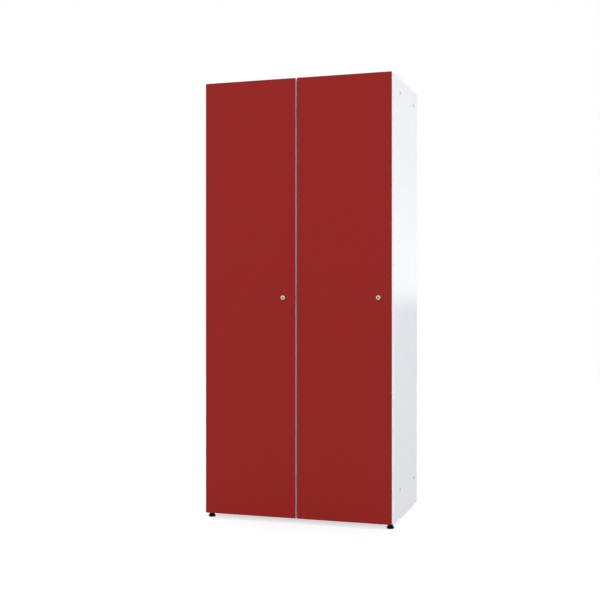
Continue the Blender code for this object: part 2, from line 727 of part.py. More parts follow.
def lock_plug(side, axis):
    """Turning plug with a level key slot, and a square tail that drives the cam."""
    front = LOCK_HEAD_PROUD - PLUG_RECESS
    shoulder = DOOR_FACE_Y - CAM_FRONT_Y + FIT_GAP
    tail_end = shoulder - 2 * FIT_GAP - CAM_THICKNESS - PLUG_TAIL_PROUD
    place = lock_place(side)
    solid = cylinder(PLUG_RADIUS, shoulder, front, ROUND_SEGMENTS)
    plug = add_part(f"lock_plug_{side}", solid, place, chrome, FACE_FRONT, axis)
    shade_round(plug)
    tail = box((PLUG_TAIL_SIDE, PLUG_TAIL_SIDE, shoulder + OVERCUT - tail_end))
    bmesh.ops.translate(tail, vec=(0, 0, (shoulder + OVERCUT + tail_end) / 2), verts=tail.verts)
    join(plug, add_part(f"join_{plug.name}_tail", tail, place, turn=FACE_FRONT))
    slot = box((KEY_SLOT_LENGTH, KEY_SLOT_WIDTH, 2 * KEY_SLOT_DEPTH))
    bmesh.ops.translate(slot, vec=(0, 0, front), verts=slot.verts)
    cut(plug, add_part(f"cut_{plug.name}_key", slot, place, turn=FACE_FRONT))


def lock_cam(side, axis):
    """Flat cam on the plug's tail: it hangs down when unlocked and points right when locked."""
    hub = CAM_WIDTH / 2
    tip_y = CAM_TIP_RADIUS - CAM_LENGTH
    half_turn = [math.pi * i / SMALL_ROUND_SEGMENTS for i in range(SMALL_ROUND_SEGMENTS + 1)]
    outline = [(hub * math.cos(a), hub * math.sin(a)) for a in half_turn]
    outline += [(-CAM_TIP_RADIUS * math.cos(a), tip_y - CAM_TIP_RADIUS * math.sin(a)) for a in half_turn]
    front = DOOR_FACE_Y - CAM_FRONT_Y
    place = lock_place(side)
    solid = prism(outline, front - CAM_THICKNESS, front)
    cam = add_part(f"lock_cam_{side}", solid, place, zinc_plate, FACE_FRONT, axis)
    hole_side = PLUG_TAIL_SIDE + 2 * FIT_GAP
    hole = box((hole_side, hole_side, CAM_THICKNESS + 2 * OVERCUT))
    bmesh.ops.translate(hole, vec=(0, 0, front - CAM_THICKNESS / 2), verts=hole.verts)
    cut(cam, add_part(f"cut_{cam.name}", hole, place, turn=FACE_FRONT))


def carcass():
    for side, sign in SIDES:
        side_panel(side, sign)
        for place, (y, z) in link_places():
            link_cap(side, sign, place, y, z)
    top_panel()
    bottom_panel()
    back_panel()
    centre_partition()
    centre_post()
    for side, sign in SIDES:
        hat_shelf(side, sign)
        coat_rail(side, sign)
    for place, x, y in foot_places():
        foot_nut(place, x, y)
        levelling_foot(place, x, y)


def door(side):
    axis = add_axis(f"door_{side}_axis", (DOOR_LEFT_X[side] + HINGE_INSET, HINGE_Y, DOOR_Z))
    door_face(side, axis)
    door_pan(side, axis)
    door_stiffener(side, axis)
    for level, z in hinge_heights():
        hinge_arm(side, level, z)
        hinge_bracket(side, level, z, axis)
        hinge_pin(side, level, z, axis)
    lock_body(side, axis)
    lock_nut(side, axis)
    lock_plug(side, axis)
    lock_cam(side, axis)


def main():
    clear_scene()
    carcass()
    for side, _ in SIDES:
        door(side)


main()
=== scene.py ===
"""Looks of the two-door steel storage cabinet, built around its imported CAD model."""

import math

import bmesh
import bpy
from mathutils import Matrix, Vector


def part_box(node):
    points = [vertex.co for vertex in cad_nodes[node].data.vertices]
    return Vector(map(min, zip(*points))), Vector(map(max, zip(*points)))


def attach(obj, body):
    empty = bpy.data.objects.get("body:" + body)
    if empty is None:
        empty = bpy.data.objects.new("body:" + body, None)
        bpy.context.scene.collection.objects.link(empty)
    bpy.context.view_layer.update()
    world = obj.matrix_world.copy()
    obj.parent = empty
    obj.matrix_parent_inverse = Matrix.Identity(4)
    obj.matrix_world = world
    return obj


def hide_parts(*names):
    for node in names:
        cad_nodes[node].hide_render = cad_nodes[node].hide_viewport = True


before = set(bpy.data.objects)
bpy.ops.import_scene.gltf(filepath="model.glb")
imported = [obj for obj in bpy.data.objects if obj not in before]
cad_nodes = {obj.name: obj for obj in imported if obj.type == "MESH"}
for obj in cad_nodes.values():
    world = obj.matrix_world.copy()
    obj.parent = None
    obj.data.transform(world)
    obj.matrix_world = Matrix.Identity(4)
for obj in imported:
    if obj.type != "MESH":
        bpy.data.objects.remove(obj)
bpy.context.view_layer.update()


# Carcass: sides, top, floor, back, partition, post and hat shelves, folded from 0.8 mm sheet steel and
# spot welded. White powder is baked on: it flows out to a semi-gloss skin with a faint orange peel, and
# the thin sheet behind it stays very slightly wavy.

WHITE = (0.802, 0.829, 0.873)
WHITE_ROUGHNESS = 0.13
SKIN_RELIEF = 0.00002
SHEET_WAVE_SCALE = 2.3
TONE_SCALE = 5.0
GLOSS_SCALE = 38.0
FOLD_COSINE = math.cos(math.radians(22))
NOISE_LOW, NOISE_HIGH = 0.25, 0.75
SIDES = ("left", "right")
CARCASS_SHEETS = (
    "side_panel_left",
    "side_panel_right",
    "top_panel",
    "bottom_panel",
    "back_panel",
    "centre_partition",
    "centre_post",
    "hat_shelf_left",
    "hat_shelf_right",
)


def node(tree, kind, inputs=None, **settings):
    """Adds a node with its settings; each input is a value, or a socket that feeds it."""
    made = tree.nodes.new(kind)
    for name, value in settings.items():
        setattr(made, name, value)
    for key, value in (inputs or {}).items():
        if isinstance(value, bpy.types.NodeSocket):
            tree.links.new(value, made.inputs[key])
        else:
            made.inputs[key].default_value = value
    return made


def result_of(tree, operation, first, second):
    return node(tree, "ShaderNodeMath", {0: first, 1: second}, operation=operation).outputs[0]


def sum_of(tree, first, second):
    return result_of(tree, "ADD", first, second)


def difference(tree, first, second):
    return result_of(tree, "SUBTRACT", first, second)


def product(tree, first, second):
    return result_of(tree, "MULTIPLY", first, second)


def larger(tree, first, second):
    return result_of(tree, "MAXIMUM", first, second)


def grain(tree, where, scale, detail):
    inputs = {"Vector": where, "Scale": scale, "Detail": detail}
    return node(tree, "ShaderNodeTexNoise", inputs).outputs["Fac"]


def spread(tree, value, middle, width):
    """Brings a noise value to a range of this width around the middle."""
    half = product(tree, width, 0.5)
    inputs = {
        "Value": value,
        "From Min": NOISE_LOW,
        "From Max": NOISE_HIGH,
        "To Min": difference(tree, middle, half),
        "To Max": sum_of(tree, middle, half),
    }
    return node(tree, "ShaderNodeMapRange", inputs, clamp=False).outputs["Result"]


def toned(tree, colour, factor):
    inputs = {0: colour, "Scale": factor}
    return node(tree, "ShaderNodeVectorMath", inputs, operation="SCALE").outputs["Vector"]


def fold_shade_mask(tree):
    """Painted fold shade mask: 0 on flats, 1 where a fold or edge rounds from one flat to the next."""
    normal = node(tree, "ShaderNodeTexCoord").outputs["Normal"]
    along = node(tree, "ShaderNodeVectorMath", {0: normal}, operation="ABSOLUTE").outputs["Vector"]
    parts = node(tree, "ShaderNodeSeparateXYZ", {0: along}).outputs
    flat = larger(tree, parts["X"], larger(tree, parts["Y"], parts["Z"]))
    inputs = {"Value": flat, "From Min": 1.0, "From Max": FOLD_COSINE}
    return node(tree, "ShaderNodeMapRange", inputs).outputs["Result"]


def new_effect(name, values):
    """A shader group that takes a colour and named values, and gives colour, roughness and height."""
    tree = bpy.data.node_groups.new(name, "ShaderNodeTree")
    tree.interface.new_socket("Colour", in_out="INPUT", socket_type="NodeSocketColor")
    for label, value in values.items():
        socket = tree.interface.new_socket(label, in_out="INPUT", socket_type="NodeSocketFloat")
        socket.default_value = value
    tree.interface.new_socket("Colour", in_out="OUTPUT", socket_type="NodeSocketColor")
    for label in ("Roughness", "Height"):
        tree.interface.new_socket(label, in_out="OUTPUT", socket_type="NodeSocketFloat")
    return tree, node(tree, "NodeGroupInput").outputs


def powder_skin():
    """Baked powder: orange peel a millimetre or two across, over slow changes of tone, gloss and level.

    Folds and rounded edges get a painted shade, a little darker, that tones down the highlight they catch.
    """
    values = {
        "Roughness": 0.2,
        "Roughness Spread": 0.04,
        "Tone Spread": 0.02,
        "Peel Scale": 620.0,
        "Waves": 9.0,
        "Fold Shade": 0.14,
    }
    tree, given = new_effect("powder_skin", values)
    where = node(tree, "ShaderNodeTexCoord").outputs["Object"]
    wave = grain(tree, where, SHEET_WAVE_SCALE, detail=1.0)
    cloud = grain(tree, where, GLOSS_SCALE, detail=3.0)
    peel = grain(tree, where, given["Peel Scale"], detail=1.0)
    tone = spread(tree, grain(tree, where, TONE_SCALE, detail=4.0), 1.0, given["Tone Spread"])
    # Painted shade: the colour is darkened on folds and rounded edges, by how far the normal tilts off the
    # flats.
    fold_shade = product(tree, fold_shade_mask(tree), given["Fold Shade"])
    results = {
        "Colour": toned(tree, given["Colour"], difference(tree, tone, fold_shade)),
        "Roughness": spread(tree, cloud, given["Roughness"], given["Roughness Spread"]),
        "Height": sum_of(tree, peel, product(tree, wave, given["Waves"])),
    }
    node(tree, "NodeGroupOutput", results)
    return tree


def material_of(name, effect, values, relief, constants=()):
    """A material with an effect's colour, roughness and relief; its other values sit on the shader."""
    material = bpy.data.materials.new(name)
    material.use_nodes = True
    tree = material.node_tree
    shader = tree.nodes["Principled BSDF"]
    skin = tree.nodes.new("ShaderNodeGroup")
    skin.node_tree = effect
    for label, value in values.items():
        skin.inputs[label].default_value = value
    bump = node(tree, "ShaderNodeBump", {"Distance": relief, "Height": skin.outputs["Height"]})
    tree.links.new(skin.outputs["Colour"], shader.inputs["Base Color"])
    tree.links.new(skin.outputs["Roughness"], shader.inputs["Roughness"])
    tree.links.new(bump.outputs["Normal"], shader.inputs["Normal"])
    for label, value in dict(constants).items():
        shader.inputs[label].default_value = value
    return material


def finish_nodes(material, names):
    for name in names:
        cad_nodes[name].material_slots[0].material = material


skin_effect = powder_skin()
white_coat = material_of(
    "white_coat",
    skin_effect,
    {"Colour": (*WHITE, 1), "Roughness": WHITE_ROUGHNESS},
    SKIN_RELIEF,
)
finish_nodes(white_coat, CARCASS_SHEETS)


# Back rivets: blind rivets that hold the back panel to the rear flanges of the sides and to the flange of
# the partition. Each is an aluminium dome with a dimple where its mandrel broke off.

RIVET_RADIUS = 0.0042
RIVET_HEIGHT = 0.0012
RIVET_DIMPLE_RADIUS = 0.0014
RIVET_DIMPLE_DEPTH = 0.0004
RIVET_SPACING = 0.246
RIVET_ROWS = 8
RIVET_INSET = 0.0115
RIVET_SIDES = 20
PARTITION_RIVET_X = 0.006
BACK_PANEL_RECESS = 0.0011
TURN_STEPS = 32
DOME_STEPS = 4
MERGE_DISTANCE = 1e-6
SHARP_ANGLE = math.radians(32)
ZINC = (0.60, 0.61, 0.63)
PLATE_RELIEF = 0.00003
DRAWN_LINES = (60.0, 1500.0, 1500.0)
DRAWN_SHARE = 0.45
DULL_PATCH_SCALE = 90.0


def plated_grain():
    """Zinc plate: small crystals of slightly different tone, with drawn lines and patches of dullness."""
    values = {"Roughness": 0.36, "Roughness Spread": 0.14, "Tone Spread": 0.14, "Crystal Scale": 700.0}
    tree, given = new_effect("plated_grain", values)
    where = node(tree, "ShaderNodeTexCoord").outputs["Object"]
    crystal = node(tree, "ShaderNodeTexVoronoi", {"Vector": where, "Scale": given["Crystal Scale"]})
    facet = node(tree, "ShaderNodeSeparateColor", {0: crystal.outputs["Color"]}).outputs[0]
    stretched = node(tree, "ShaderNodeMapping", {"Vector": where, "Scale": DRAWN_LINES}).outputs[0]
    drawn = grain(tree, stretched, 1.0, detail=2.0)
    patch = grain(tree, where, DULL_PATCH_SCALE, detail=3.0)
    mixed = node(tree, "ShaderNodeMix", {"Factor": DRAWN_SHARE, "A": facet, "B": drawn}).outputs["Result"]
    results = {
        "Colour": toned(tree, given["Colour"], spread(tree, mixed, 1.0, given["Tone Spread"])),
        "Roughness": spread(tree, patch, given["Roughness"], given["Roughness Spread"]),
        "Height": drawn,
    }
    node(tree, "NodeGroupOutput", results)
    return tree


def rounded(start, corner, end, steps):
    """Points of the quarter round that takes off a corner, from start to end."""
    points = []
    for i in range(steps + 1):
        turn = math.pi / 2 * i / steps
        before, after = 1 - math.sin(turn), 1 - math.cos(turn)
        ways = zip(start, corner, end)
        points.append(tuple(c + before * (s - c) + after * (e - c) for s, c, e in ways))
    return points


def profile_curve(tree, along, levels):
    """Reads a run of levels from 0 to 1, one at each ring of a turned piece."""
    curve = node(tree, "ShaderNodeFloatCurve", {"Value": along})
    points = curve.mapping.curves[0].points
    levels = levels + [levels[-1]] * (TURN_STEPS + 1 - len(levels))
    points[0].location = (0, levels[0])
    points[1].location = (1, levels[-1])
    for i in range(1, TURN_STEPS):
        points.new(i / TURN_STEPS, levels[i])
    for point in points:
        point.handle_type = "VECTOR"
    curve.mapping.update()
    return curve.outputs["Value"]


def new_maker(name, sizes):
    """A geometry tree that takes places, named sizes and a finish, and gives pieces."""
    tree = bpy.data.node_groups.new(name, "GeometryNodeTree")
    tree.interface.new_socket("Places", in_out="INPUT", socket_type="NodeSocketGeometry")
    for label, size in sizes.items():
        socket = tree.interface.new_socket(label, in_out="INPUT", socket_type="NodeSocketFloat")
        socket.default_value = size
    tree.interface.new_socket("Finish", in_out="INPUT", socket_type="NodeSocketMaterial")
    tree.interface.new_socket("Pieces", in_out="OUTPUT", socket_type="NodeSocketGeometry")
    return tree, node(tree, "NodeGroupInput").outputs


def place_pieces(tree, given, piece):
    """Sets the piece on every place, turned to its facing, as one mesh with the finish."""
    inputs = {"Name": "facing"}
    facing = node(tree, "GeometryNodeInputNamedAttribute", inputs, data_type="FLOAT_VECTOR").outputs[0]
    turn = node(tree, "FunctionNodeAlignRotationToVector", {"Vector": facing}, axis="Z").outputs[0]
    inputs = {"Points": given["Places"], "Instance": piece, "Rotation": turn}
    placed = node(tree, "GeometryNodeInstanceOnPoints", inputs).outputs[0]
    real = node(tree, "GeometryNodeRealizeInstances", {0: placed}).outputs[0]
    inputs = {"Geometry": real, "Material": given["Finish"]}
    done = node(tree, "GeometryNodeSetMaterial", inputs).outputs[0]
    node(tree, "NodeGroupOutput", {0: done})


def turned_tree(name, profile, sides, cuts=()):
    """Turns (radius, height) points, from the foot round the outside, and cuts boxes from the piece."""
    reach = max(radius for radius, _ in profile)
    foot = min(height for _, height in profile)
    rise = max(height for _, height in profile) - foot
    tree, given = new_maker(name, {"Radius": reach, "Height": rise, "Foot": foot})
    inputs = {"Vertices": sides, "Side Segments": TURN_STEPS, "Radius": 1.0, "Depth": 1.0}
    blank = node(tree, "GeometryNodeMeshCylinder", inputs, fill_type="NONE").outputs["Mesh"]
    position = node(tree, "GeometryNodeInputPosition").outputs[0]
    place = node(tree, "ShaderNodeSeparateXYZ", {0: position}).outputs
    along = sum_of(tree, place["Z"], 0.5)
    radius = profile_curve(tree, along, [r / reach for r, _ in profile])
    radius = product(tree, radius, given["Radius"])
    height = profile_curve(tree, along, [(h - foot) / rise for _, h in profile])
    height = sum_of(tree, product(tree, height, given["Height"]), given["Foot"])
    across = {axis: product(tree, place[axis], radius) for axis in ("X", "Y")}
    moved = node(tree, "ShaderNodeCombineXYZ", {**across, "Z": height}).outputs[0]
    inputs = {"Geometry": blank, "Name": "turned", "Value": radius}
    marked = node(tree, "GeometryNodeStoreNamedAttribute", inputs).outputs[0]
    shaped = node(tree, "GeometryNodeSetPosition", {"Geometry": marked, "Position": moved}).outputs[0]
    inputs = {"Geometry": shaped, "Distance": MERGE_DISTANCE}
    piece = node(tree, "GeometryNodeMergeByDistance", inputs).outputs[0]
    if cuts:
        kind = {"operation": "DIFFERENCE", "solver": "EXACT"}
        trim = node(tree, "GeometryNodeMeshBoolean", {"Mesh 1": piece}, **kind)
        for size, centre in cuts:
            box = node(tree, "GeometryNodeMeshCube", {"Size": size}).outputs["Mesh"]
            inputs = {"Geometry": box, "Translation": centre}
            moved_box = node(tree, "GeometryNodeTransform", inputs).outputs[0]
            tree.links.new(moved_box, trim.inputs["Mesh 2"])
        piece = trim.outputs["Mesh"]
    smooth = node(tree, "GeometryNodeSetShadeSmooth", {0: piece, "Shade Smooth": True}).outputs[0]
    place_pieces(tree, given, smooth)
    return tree


def make_pieces(name, tree, places, finish, body):
    """Runs a tree on (point, facing) places, and keeps the result as a plain mesh on a body."""
    points = bpy.data.meshes.new(name)
    points.from_pydata([point for point, _ in places], [], [])
    facing = points.attributes.new("facing", "FLOAT_VECTOR", "POINT")
    for item, (_, direction) in zip(facing.data, places):
        item.vector = direction
    piece = bpy.data.objects.new(name, points)
    bpy.context.scene.collection.objects.link(piece)
    maker = piece.modifiers.new("maker", "NODES")
    maker.node_group = tree
    maker[tree.interface.items_tree["Finish"].identifier] = finish
    graph = bpy.context.evaluated_depsgraph_get()
    mesh = bpy.data.meshes.new_from_object(
        piece.evaluated_get(graph), preserve_all_data_layers=True, depsgraph=graph
    )
    piece.modifiers.remove(maker)
    piece.data = mesh
    bpy.data.meshes.remove(points)
    mesh.name = name
    faces = bmesh.new()
    faces.from_mesh(mesh)
    bmesh.ops.recalc_face_normals(faces, faces=faces.faces)
    faces.to_mesh(mesh)
    faces.free()
    mesh.set_sharp_from_angle(angle=SHARP_ANGLE)
    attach(piece, body)
    return piece


plate_effect = plated_grain()
zinc_plate = material_of(
    "zinc_plate", plate_effect, {"Colour": (*ZINC, 1)}, PLATE_RELIEF, {"Metallic": 1.0}
)
rivet_tree = turned_tree(
    "blind_rivet",
    [
        (0, 0),
        *rounded(
            (RIVET_RADIUS, 0),
            (RIVET_RADIUS, RIVET_HEIGHT),
            (RIVET_DIMPLE_RADIUS, RIVET_HEIGHT),
            DOME_STEPS,
        ),
        (RIVET_DIMPLE_RADIUS, RIVET_HEIGHT - RIVET_DIMPLE_DEPTH),
        (0, RIVET_HEIGHT - RIVET_DIMPLE_DEPTH),
    ],
    RIVET_SIDES,
)
panel_low, panel_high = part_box("side_panel_right")
lowest_rivet = (panel_low.z + panel_high.z - (RIVET_ROWS - 1) * RIVET_SPACING) / 2
rivet_z = [lowest_rivet + i * RIVET_SPACING for i in range(RIVET_ROWS)]
rivet_columns = (
    (-panel_high.x + RIVET_INSET, panel_high.y),
    (PARTITION_RIVET_X, panel_high.y - BACK_PANEL_RECESS),
    (panel_high.x - RIVET_INSET, panel_high.y),
)
rivet_places = [((x, y, z), (0, 1, 0)) for x, y in rivet_columns for z in rivet_z]
make_pieces("back_rivets", rivet_tree, rivet_places, zinc_plate, "carcass")


# Link caps: grey plastic caps pushed into the holes by which cabinets are bolted side by side. Each lies
# flush in its hole, slightly dished, and a brim inside the wall holds it.

GREY = (0.055, 0.057, 0.060)
GREY_SPECULAR = 0.15
CAP_RADIUS = 0.0067
CAP_BRIM_RADIUS = 0.009
CAP_FACE = -0.0003
CAP_BRIM_FRONT = -0.0011
CAP_BRIM_BACK = -0.0026
CAP_DISH = 0.0004
CAP_DISH_RADIUS = 0.0048
CAP_DISH_FLAT = 0.0020
CAP_ROUND = 0.0004
EDGE_STEPS = 2
CAP_SIDES = 32
GRAIN_RELIEF = 0.00004
GLOSS_PATCH_SCALE = 120.0


def moulded_grain():
    """Moulded plastic: the fine spark-eroded grain of the mould, and a little variation of gloss."""
    values = {"Roughness": 0.48, "Roughness Spread": 0.12, "Tone Spread": 0.08, "Grain Scale": 1800.0}
    tree, given = new_effect("moulded_grain", values)
    where = node(tree, "ShaderNodeTexCoord").outputs["Object"]
    pits = grain(tree, where, given["Grain Scale"], detail=2.0)
    patch = grain(tree, where, GLOSS_PATCH_SCALE, detail=3.0)
    results = {
        "Colour": toned(tree, given["Colour"], spread(tree, patch, 1.0, given["Tone Spread"])),
        "Roughness": spread(tree, pits, given["Roughness"], given["Roughness Spread"]),
        "Height": pits,
    }
    node(tree, "NodeGroupOutput", results)
    return tree


mould_effect = moulded_grain()
grey_plastic = material_of(
    "grey_plastic",
    mould_effect,
    {"Colour": (*GREY, 1)},
    GRAIN_RELIEF,
    {"Specular IOR Level": GREY_SPECULAR},
)
cap_tree = turned_tree(
    "link_cap",
    [
        (0, CAP_BRIM_BACK),
        (CAP_BRIM_RADIUS - CAP_ROUND, CAP_BRIM_BACK),
        (CAP_BRIM_RADIUS, CAP_BRIM_BACK + CAP_ROUND),
        (CAP_BRIM_RADIUS, CAP_BRIM_FRONT),
        (CAP_RADIUS, CAP_BRIM_FRONT),
        *rounded(
            (CAP_RADIUS, CAP_FACE - CAP_ROUND),
            (CAP_RADIUS, CAP_FACE),
            (CAP_RADIUS - CAP_ROUND, CAP_FACE),
            EDGE_STEPS,
        ),
        *rounded(
            (CAP_DISH_RADIUS, CAP_FACE),
            (CAP_DISH_RADIUS, CAP_FACE - CAP_DISH),
            (CAP_DISH_FLAT, CAP_FACE - CAP_DISH),
            EDGE_STEPS,
        ),
        (0, CAP_FACE - CAP_DISH),
    ],
    CAP_SIDES,
)
cap_nodes = sorted(name for name in cad_nodes if name.startswith("link_cap_"))
cap_places = []
for name in cap_nodes:
    low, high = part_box(name)
    sign = math.copysign(1, low.x)
    centre = (low + high) / 2
    cap_places.append(((sign * panel_high.x, centre.y, centre.z), (sign, 0, 0)))
link_caps = make_pieces("link_caps", cap_tree, cap_places, grey_plastic, "carcass")
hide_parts(*cap_nodes)


# Coat rails: zinc-plated steel tubes across each compartment, under the hat shelf, carried in round end
# flanges that are screwed to the walls.

RAIL_RADIUS = 0.010
FLANGE_RADIUS = 0.019
FLANGE_THICKNESS = 0.003
FLANGE_ROUND = 0.0009
RAIL_FILLET = 0.0012
RAIL_SIDES = 48
RAIL_SCREW_RADIUS = 0.0026
RAIL_SCREW_HEIGHT = 0.0007
RAIL_SCREW_CIRCLE = 0.0145
SCREW_SIDES = 24
SCREW_WALL_SHARE = 0.25
RECESS_SHARES = (1.3, 0.26, 1.2)

for side in SIDES:
    rail_node = "coat_rail_" + side
    low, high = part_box(rail_node)
    length = high.x - low.x
    end_profile = [
        *rounded(
            (FLANGE_RADIUS - FLANGE_ROUND, 0),
            (FLANGE_RADIUS, 0),
            (FLANGE_RADIUS, FLANGE_ROUND),
            EDGE_STEPS,
        ),
        *rounded(
            (FLANGE_RADIUS, FLANGE_THICKNESS - FLANGE_ROUND),
            (FLANGE_RADIUS, FLANGE_THICKNESS),
            (FLANGE_RADIUS - FLANGE_ROUND, FLANGE_THICKNESS),
            EDGE_STEPS,
        ),
        *rounded(
            (RAIL_RADIUS + RAIL_FILLET, FLANGE_THICKNESS),
            (RAIL_RADIUS, FLANGE_THICKNESS),
            (RAIL_RADIUS, FLANGE_THICKNESS + RAIL_FILLET),
            EDGE_STEPS,
        ),
    ]
    far_end = [(radius, length - height) for radius, height in reversed(end_profile)]
    rail_profile = [(0, 0)] + end_profile + far_end + [(0, length)]
    rail_tree = turned_tree("coat_rail", rail_profile, RAIL_SIDES)
    centre = (low + high) / 2
    spot = [((low.x, centre.y, centre.z), (1, 0, 0))]
    rail = make_pieces(rail_node + "_tube", rail_tree, spot, zinc_plate, "carcass")
    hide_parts(rail_node)


def cross_screw(name, radius, height):
    """A low round-headed screw with a cross recess."""
    blade = [share * size for share, size in zip(RECESS_SHARES, (radius, radius, height))]
    wall = SCREW_WALL_SHARE * height
    dome = rounded((radius, wall), (radius, height), (0, height), DOME_STEPS)
    profile = [(0, 0), (radius, 0), *dome]
    crossed = (blade[1], blade[0], blade[2])
    top = (0, 0, height)
    return turned_tree(name, profile, SCREW_SIDES, [(blade, top), (crossed, top)])


rail_screw = cross_screw("rail_screw", RAIL_SCREW_RADIUS, RAIL_SCREW_HEIGHT)
rail_screw_places = []
for side in SIDES:
    low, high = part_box("coat_rail_" + side)
    centre = (low + high) / 2
    for x, facing in ((low.x + FLANGE_THICKNESS, 1), (high.x - FLANGE_THICKNESS, -1)):
        for step in (-1, 1):
            place = (x, centre.y + step * RAIL_SCREW_CIRCLE, centre.z)
            rail_screw_places.append((place, (facing, 0, 0)))
make_pieces("rail_screws", rail_screw, rail_screw_places, zinc_plate, "carcass")


# Levelling feet: moulded black pads, each on a zinc-plated threaded stud that screws up through a nut
# welded in the base.

BLACK = (0.0025, 0.0025, 0.0028)
BLACK_SPECULAR = 0.08
FOOT_RADIUS = 0.0145
FOOT_RIM = 0.008
FOOT_NECK_RADIUS = 0.0114
FOOT_TOP = 0.0187
FOOT_ROUND = 0.0016
FOOT_FILLET = 0.0014
FOOT_CHAMFER = 0.0008
SOLE_RECESS = 0.0008
SOLE_RECESS_FLAT = 0.00899
SOLE_RECESS_RADIUS = 0.00957
FOOT_SIDES = 48
STUD_RADIUS = 0.004
STUD_TOP = 0.0532
STUD_SIDES = 24
THREAD_PITCH = 0.00125
THREAD_DEPTH = 0.0006
THREAD_STEPS = 20
THREAD_SIDES = 4


def thread_tree():
    """A round core with a screw thread wound along it, standing on each place."""
    sizes = {"Radius": STUD_RADIUS, "Length": STUD_TOP - FOOT_TOP, "Pitch": THREAD_PITCH}
    tree, given = new_maker("threaded_stud", sizes)
    turns = result_of(tree, "DIVIDE", given["Length"], given["Pitch"])
    core_radius = sum_of(tree, given["Radius"], -THREAD_DEPTH)
    inputs = {
        "Resolution": THREAD_STEPS,
        "Rotations": turns,
        "Start Radius": core_radius,
        "End Radius": core_radius,
        "Height": given["Length"],
    }
    path = node(tree, "GeometryNodeCurveSpiral", inputs).outputs[0]
    upright = node(tree, "GeometryNodeSetCurveNormal", {0: path}, mode="Z_UP").outputs[0]
    inputs = {"Resolution": THREAD_SIDES, "Radius": THREAD_DEPTH}
    crest = node(tree, "GeometryNodeCurvePrimitiveCircle", inputs).outputs[0]
    inputs = {"Curve": upright, "Profile Curve": crest, "Fill Caps": True}
    ridge = node(tree, "GeometryNodeCurveToMesh", inputs).outputs[0]
    inputs = {"Vertices": STUD_SIDES, "Radius": core_radius, "Depth": given["Length"]}
    core = node(tree, "GeometryNodeMeshCylinder", inputs).outputs["Mesh"]
    middle = node(tree, "ShaderNodeCombineXYZ", {"Z": product(tree, given["Length"], 0.5)}).outputs[0]
    raised = node(tree, "GeometryNodeTransform", {"Geometry": core, "Translation": middle}).outputs[0]
    joined = node(tree, "GeometryNodeJoinGeometry", {0: raised})
    tree.links.new(ridge, joined.inputs[0])
    inputs = {0: joined.outputs[0], "Shade Smooth": True}
    smooth = node(tree, "GeometryNodeSetShadeSmooth", inputs).outputs[0]
    place_pieces(tree, given, smooth)
    return tree


black_plastic = material_of(
    "black_plastic",
    mould_effect,
    {"Colour": (*BLACK, 1)},
    GRAIN_RELIEF,
    {"Specular IOR Level": BLACK_SPECULAR},
)
pad_tree = turned_tree(
    "foot_pad",
    [
        (0, SOLE_RECESS),
        (SOLE_RECESS_FLAT, SOLE_RECESS),
        (SOLE_RECESS_RADIUS, 0),
        *rounded(
            (FOOT_RADIUS - FOOT_ROUND, 0),
            (FOOT_RADIUS, 0),
            (FOOT_RADIUS, FOOT_ROUND),
            EDGE_STEPS,
        ),
        *rounded(
            (FOOT_RADIUS, FOOT_RIM - FOOT_ROUND),
            (FOOT_RADIUS, FOOT_RIM),
            (FOOT_RADIUS - FOOT_ROUND, FOOT_RIM),
            EDGE_STEPS,
        ),
        *rounded(
            (FOOT_NECK_RADIUS + FOOT_FILLET, FOOT_RIM),
            (FOOT_NECK_RADIUS, FOOT_RIM),
            (FOOT_NECK_RADIUS, FOOT_RIM + FOOT_FILLET),
            EDGE_STEPS,
        ),
        (FOOT_NECK_RADIUS, FOOT_TOP - FOOT_CHAMFER),
        (FOOT_NECK_RADIUS - FOOT_CHAMFER, FOOT_TOP),
        (0, FOOT_TOP),
    ],
    FOOT_SIDES,
)
stud_tree = thread_tree()
for corner in ("front_left", "front_right", "rear_left", "rear_right"):
    foot_node, foot_body = "levelling_foot_" + corner, "foot_" + corner
    low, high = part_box(foot_node)
    centre = (low + high) / 2
    spot = [((centre.x, centre.y, 0), (0, 0, 1))]
    pad = make_pieces("foot_pad_" + corner, pad_tree, spot, black_plastic, foot_body)
    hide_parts(foot_node)
    spot = [((centre.x, centre.y, FOOT_TOP), (0, 0, 1))]
    make_pieces("foot_stud_" + corner, stud_tree, spot, zinc_plate, foot_body)
    finish_nodes(zinc_plate, ["foot_nut_" + corner])


# Doors: a red-coated face sheet over a white-coated inner pan whose edges run forward to it, with a zinc
# hat-section stiffener between the two skins.

RED = (0.268, 0.0122, 0.0094)
RED_ROUGHNESS = 0.40
RED_SPECULAR = 0.22

red_coat = material_of(
    "red_coat",
    skin_effect,
    {
        "Colour": (*RED, 1),
        "Roughness": RED_ROUGHNESS,
        "Roughness Spread": 0.06,
        "Tone Spread": 0.03,
        "Peel Scale": 800.0,
        "Waves": 5.0,
    },
    SKIN_RELIEF,
    {"Specular IOR Level": RED_SPECULAR},
)
for side in SIDES:
    finish_nodes(red_coat, ["door_face_" + side])
    finish_nodes(white_coat, ["door_pan_" + side])
    finish_nodes(zinc_plate, ["door_stiffener_" + side])


# Door buffers: black rubber domes stuck on the front of the post and of the right side, where the free
# edge of each door comes to rest.

BUFFER_RADIUS = 0.005
BUFFER_HEIGHT = 0.0026
BUFFER_WALL = 0.0009
BUFFER_END_DISTANCE = 0.090
BUFFER_INSET = 0.017
BUFFER_SIDES = 24

